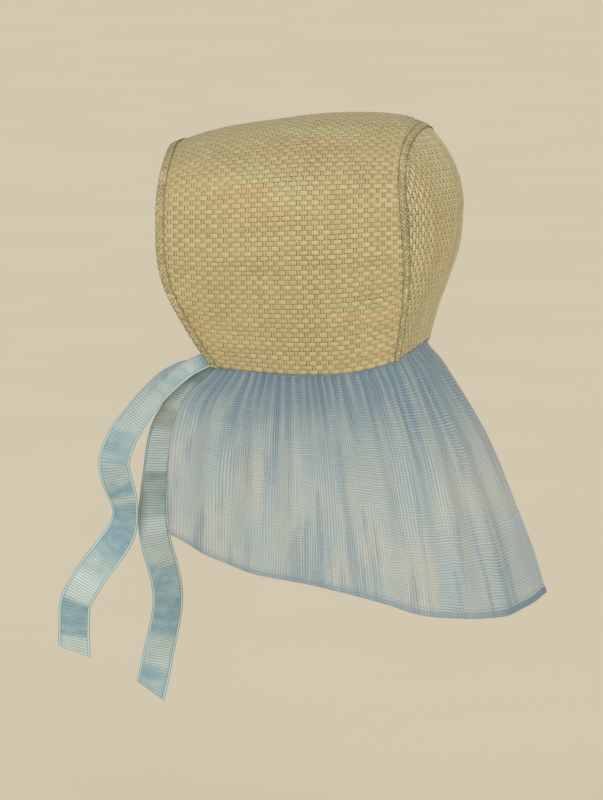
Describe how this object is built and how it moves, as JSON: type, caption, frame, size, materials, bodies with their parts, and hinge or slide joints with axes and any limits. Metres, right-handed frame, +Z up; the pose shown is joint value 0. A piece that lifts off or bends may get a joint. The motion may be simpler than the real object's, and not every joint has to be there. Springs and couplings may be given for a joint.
{
  "type": "straw bonnet",
  "caption": "Deep straw bonnet with a domed straw back, braid-bound front edge, gathered cotton cape below the neck edge and ribbon ties.",
  "frame": {"origin": "on the inside of the straw crown at its highest point, where it sits on the head", "axes": "+Z up as worn, -Y towards the face opening, +X towards the wearer's left"},
  "size_m": [0.2196, 0.3869, 0.4969],
  "materials": {
    "straw": "woven poplar-and-straw cloth, pale gold floats over darker gaps, satin",
    "braid": "narrow greenish straw braid, speckled, matt",
    "cotton": "thin blue-grey cotton with a visible thread grid, matt",
    "ribbon": "ribbed pale blue ribbon with pale selvedges, soft sheen"
  },
  "bodies": {
    "root": {"brim": "straw", "crown_back": "straw", "front_binding": "braid", "seam_band": "braid", "cape": "cotton", "tie_left": "ribbon", "tie_right": "ribbon"}
  },
  "joints": []
}
